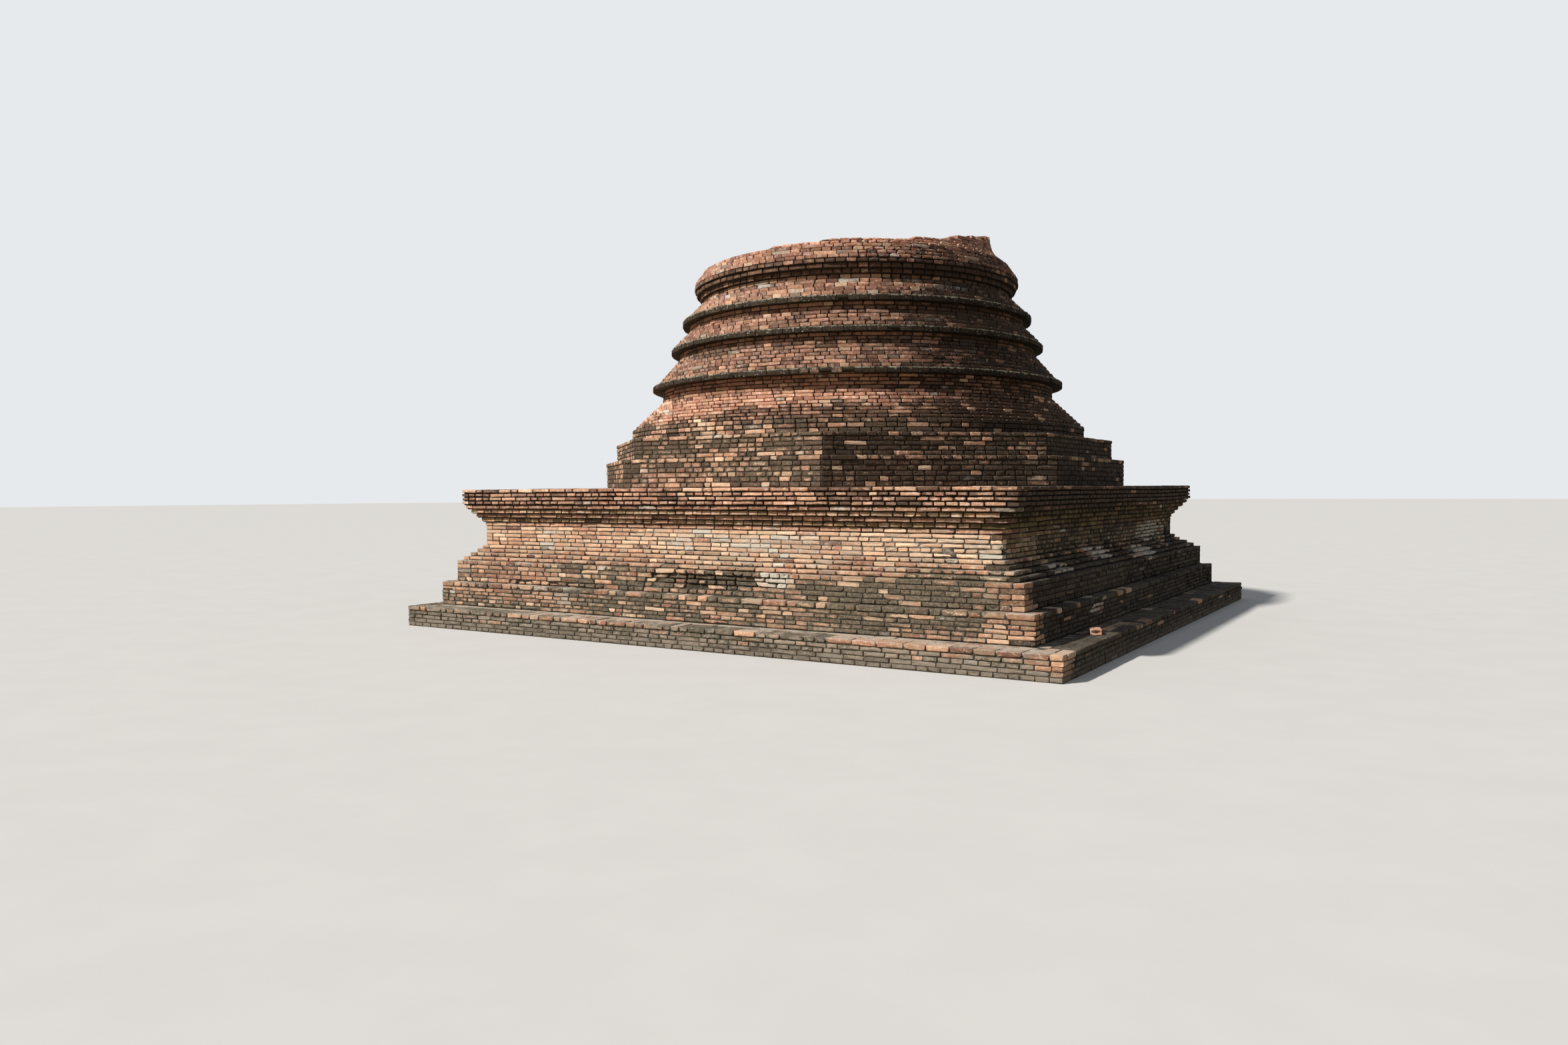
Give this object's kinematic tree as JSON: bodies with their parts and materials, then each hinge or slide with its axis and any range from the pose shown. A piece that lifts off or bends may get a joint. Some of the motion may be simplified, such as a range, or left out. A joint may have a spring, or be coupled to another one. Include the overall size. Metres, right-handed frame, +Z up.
{
  "type": "ruined brick stupa",
  "caption": "Ruined brick stupa: stepped square platform with a corbelled cornice, octagonal tiers, a round body with flat rings, and the broken foot of the bell.",
  "frame": {"origin": "at ground level, under the centre of the foundation step", "axes": "+Z up; -Y is the front face that the picture shows in the sun, +X is the face that it shows in shade"},
  "size_m": [8.04, 8.108, 4.84],
  "materials": {
    "worn_brick": "worn, dusty brick with black grime",
    "red_brick": "orange-red brick, chipped edges",
    "grimed_brick": "brick under black grime",
    "shaded_brick": "damp brown brick",
    "lichen_brick": "brick crusted with dark lichen",
    "broken_brick": "rough broken brick"
  },
  "bodies": {
    "root": {"base_moulding_course_1": "worn_brick", "base_moulding_course_2": "worn_brick", "base_moulding_course_3": "worn_brick", "base_moulding_course_4": "worn_brick", "bell_corbels": "shaded_brick", "bell_foot": "broken_brick", "bell_lip": "broken_brick", "bell_neck": "shaded_brick", "brick_fragment": "red_brick", "broken_bell_course_01": "broken_brick", "broken_bell_course_02": "broken_brick", "broken_bell_course_03": "broken_brick", "broken_bell_course_04": "broken_brick", "broken_bell_course_05": "broken_brick", "broken_bell_course_06": "broken_brick", "broken_bell_course_07": "broken_brick", "broken_bell_course_08": "broken_brick", "broken_bell_course_09": "broken_brick", "broken_bell_course_10": "broken_brick", "cornice_corbel_1": "red_brick", "cornice_corbel_2": "red_brick", "cornice_corbel_3": "red_brick", "cornice_corbel_4": "red_brick", "cornice_corbel_5": "red_brick", "cornice_fascia": "red_brick", "foundation_step": "worn_brick", "loose_brick": "red_brick", "lower_neck": "shaded_brick", "lower_ring": "lichen_brick", "lower_ring_slope": "red_brick", "middle_neck": "shaded_brick", "middle_ring": "lichen_brick", "middle_ring_slope": "red_brick", "octagon_lower_tier": "grimed_brick", "octagon_upper_tier": "grimed_brick", "platform_wall": "worn_brick", "plinth_slope": "red_brick", "round_plinth": "grimed_brick", "second_step": "worn_brick", "third_step": "worn_brick", "upper_neck": "shaded_brick", "upper_ring": "lichen_brick", "upper_ring_slope": "red_brick"}
  },
  "joints": []
}
